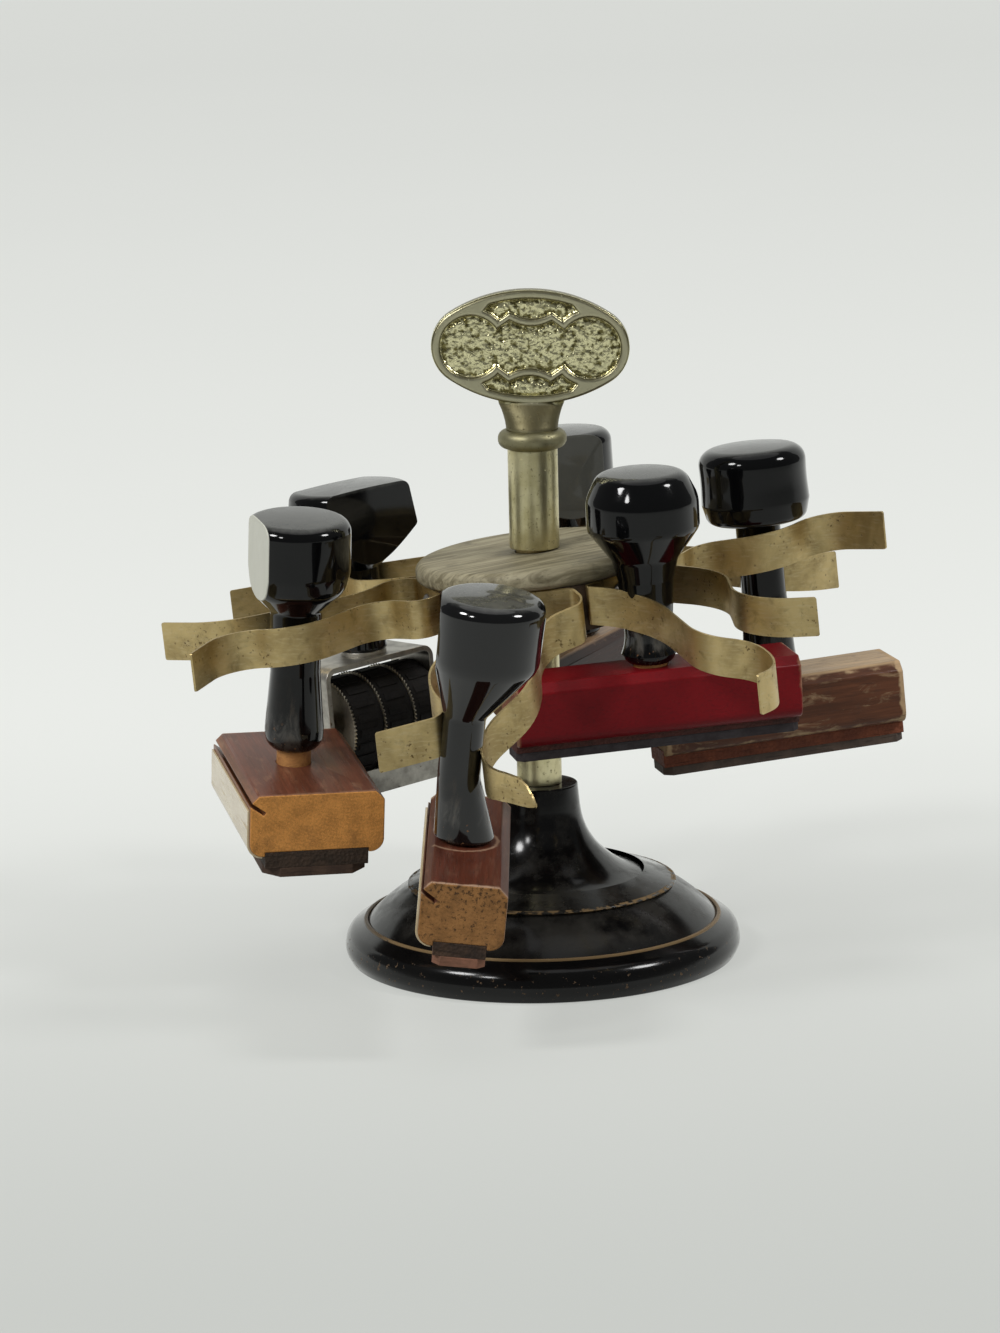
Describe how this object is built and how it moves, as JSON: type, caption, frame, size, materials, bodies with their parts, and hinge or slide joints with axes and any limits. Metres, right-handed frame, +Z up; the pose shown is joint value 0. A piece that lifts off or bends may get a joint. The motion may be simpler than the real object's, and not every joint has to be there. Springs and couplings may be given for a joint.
{
  "type": "rotary stamp rack",
  "caption": "Desktop turntable rack: cast foot, upright rod, turned wooden hub with bent brass spring clips that hold rubber stamps and a band dater, and a key-shaped carrying handle.",
  "frame": {"origin": "centre of the base's underside, where the rack stands on the desk, on the axis that the hub turns about", "axes": "+Z up along the rod; -Y towards the desk user, the side that the picture shows; +X to that user's right"},
  "size_m": [0.2011, 0.2089, 0.1817],
  "materials": {
    "japanned_iron": "black japan with two gold lines, gloss",
    "steel": "turned, dull",
    "nickel_brass": "worn nickel over brass",
    "hub_wood": "weathered grey brown",
    "clip_brass": "aged, spotted",
    "black_lacquer": "black lacquer, gloss",
    "raw_wood": "bare turned wood",
    "stained_wood": "stained and varnished",
    "maroon_wood": "painted, satin",
    "worn_wood": "worn varnish",
    "cushion_rubber": "spongy, ink stained",
    "die_rubber": "moulded rubber, ink stained",
    "celluloid": "yellowed, clear gloss",
    "dater_metal": "plated sheet, dull",
    "band_rubber": "moulded rubber, matt"
  },
  "bodies": {
    "stand": {"base_casting": "japanned_iron", "centre_rod": "steel", "base_washer": "steel", "base_nut": "steel", "lower_sleeve": "nickel_brass", "thrust_washer": "nickel_brass", "stem_tube": "nickel_brass", "key_head": "nickel_brass"},
    "carousel": {"hub_disc": "hub_wood", "hub_drum": "hub_wood", "hub_bush": "clip_brass", "clip_front_left": "clip_brass", "clip_front": "clip_brass", "clip_front_right": "clip_brass", "clip_right": "clip_brass", "clip_rear": "clip_brass", "clip_rear_left": "clip_brass", "clip_screws": "steel"},
    "stamp_front_left": {"handle_front_left": "black_lacquer", "peg_front_left": "raw_wood", "block_front_left": "stained_wood", "cushion_front_left": "cushion_rubber", "die_front_left": "die_rubber", "index_strip_front_left": "celluloid"},
    "stamp_front": {"handle_front": "black_lacquer", "peg_front": "raw_wood", "block_front": "stained_wood", "cushion_front": "cushion_rubber", "die_front": "die_rubber", "index_strip_front": "celluloid"},
    "stamp_front_right": {"handle_front_right": "black_lacquer", "peg_front_right": "raw_wood", "block_front_right": "maroon_wood", "cushion_front_right": "cushion_rubber", "die_front_right": "die_rubber"},
    "stamp_right": {"handle_right": "black_lacquer", "peg_right": "raw_wood", "block_right": "worn_wood", "cushion_right": "cushion_rubber", "die_right": "die_rubber"},
    "stamp_rear": {"handle_rear": "black_lacquer", "peg_rear": "raw_wood", "block_rear": "worn_wood", "cushion_rear": "cushion_rubber", "die_rear": "die_rubber"},
    "dater": {"handle_rear_left": "black_lacquer", "dater_stud": "dater_metal", "dater_frame": "dater_metal", "dater_axle": "dater_metal", "dater_bands": "band_rubber", "dater_foot": "dater_metal"},
    "band_wheel_1": {"dater_wheel_1": "dater_metal"},
    "band_wheel_2": {"dater_wheel_2": "dater_metal"},
    "band_wheel_3": {"dater_wheel_3": "dater_metal"}
  },
  "joints": [
    {"name": "carousel_spin", "type": "hinge", "parent": "stand", "child": "carousel", "pos_m": [0, 0, 0.1], "axis": [0, 0, 1], "continuous": true},
    {"name": "stamp_front_left_draw", "type": "slide", "parent": "carousel", "child": "stamp_front_left", "axis": [-0.9607, -0.2416, -0.1366], "range_m": [0, 0.042]},
    {"name": "stamp_front_draw", "type": "slide", "parent": "carousel", "child": "stamp_front", "axis": [-0.0959, -0.9182, -0.3844], "range_m": [0, 0.026]},
    {"name": "stamp_front_right_draw", "type": "slide", "parent": "carousel", "child": "stamp_front_right", "axis": [0.7454, -0.6641, -0.0571], "range_m": [0, 0.066]},
    {"name": "stamp_right_draw", "type": "slide", "parent": "carousel", "child": "stamp_right", "axis": [0.9553, 0.241, 0.1711], "range_m": [0, 0.0365]},
    {"name": "stamp_rear_draw", "type": "slide", "parent": "carousel", "child": "stamp_rear", "axis": [0.143, 0.9889, -0.04], "range_m": [0, 0.033]},
    {"name": "dater_draw", "type": "slide", "parent": "carousel", "child": "dater", "axis": [-0.7439, 0.6545, -0.1351], "range_m": [0, 0.033]},
    {"name": "band_wheel_1_spin", "type": "hinge", "parent": "dater", "child": "band_wheel_1", "pos_m": [-0.04719, 0.04358, 0.05769], "axis": [0.7418, 0.6691, 0.0454], "continuous": true},
    {"name": "band_wheel_2_spin", "type": "hinge", "parent": "dater", "child": "band_wheel_2", "pos_m": [-0.04719, 0.04358, 0.05769], "axis": [0.7418, 0.6691, 0.0454], "continuous": true},
    {"name": "band_wheel_3_spin", "type": "hinge", "parent": "dater", "child": "band_wheel_3", "pos_m": [-0.04719, 0.04358, 0.05769], "axis": [0.7418, 0.6691, 0.0454], "continuous": true}
  ]
}
